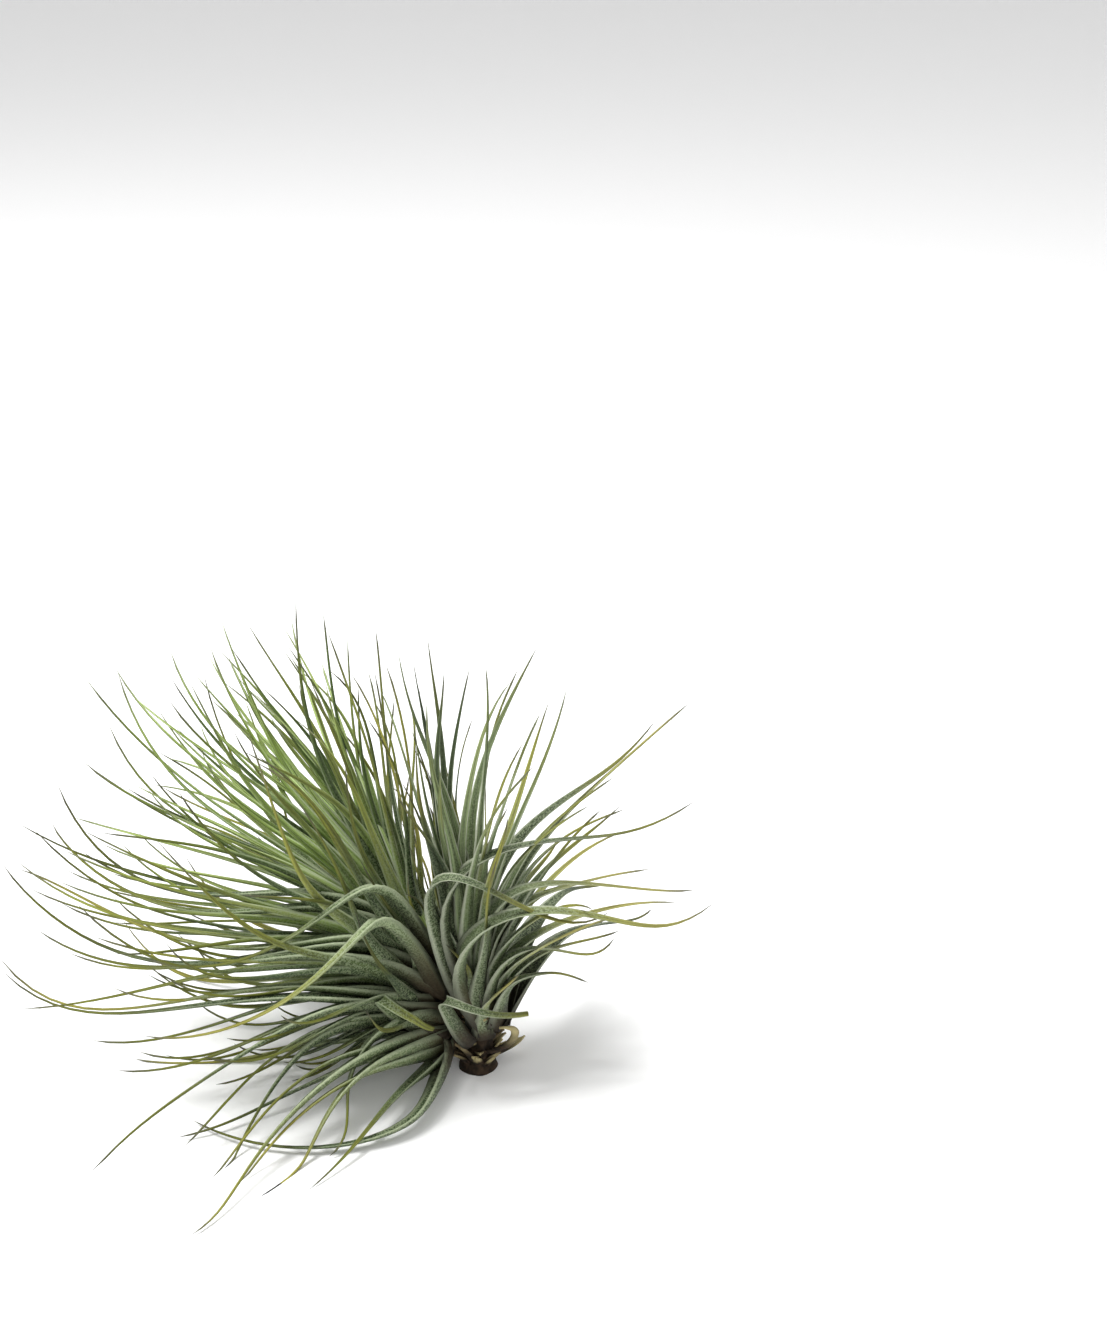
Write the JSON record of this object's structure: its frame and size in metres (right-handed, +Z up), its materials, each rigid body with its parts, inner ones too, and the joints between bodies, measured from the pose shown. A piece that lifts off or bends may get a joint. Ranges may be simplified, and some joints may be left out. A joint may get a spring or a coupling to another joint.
{
  "type": "tillandsia andreana air plant",
  "caption": "Clumping air plant with needle leaves: a green head and a smaller silvery head fanning out from one short woody stock, as lifted from its perch.",
  "frame": {"origin": "middle of the old stem's flat foot, on the surface that the plant rests on", "axes": "+Z up; +X towards the smaller silvery head; the large green head leans to -X; the pictured side faces -Y"},
  "size_m": [0.118, 0.103, 0.0864],
  "materials": {
    "old_stem": "dry, dark brown, fibrous",
    "green_leaf": "soft scurfy green, matte, olive and yellow towards the ends",
    "silver_leaf": "silvery grey-green scurf, matte, yellow towards the ends"
  },
  "bodies": {
    "root": {"old_stem": "old_stem", "main_rosette": "green_leaf", "side_rosette": "silver_leaf"}
  },
  "joints": []
}
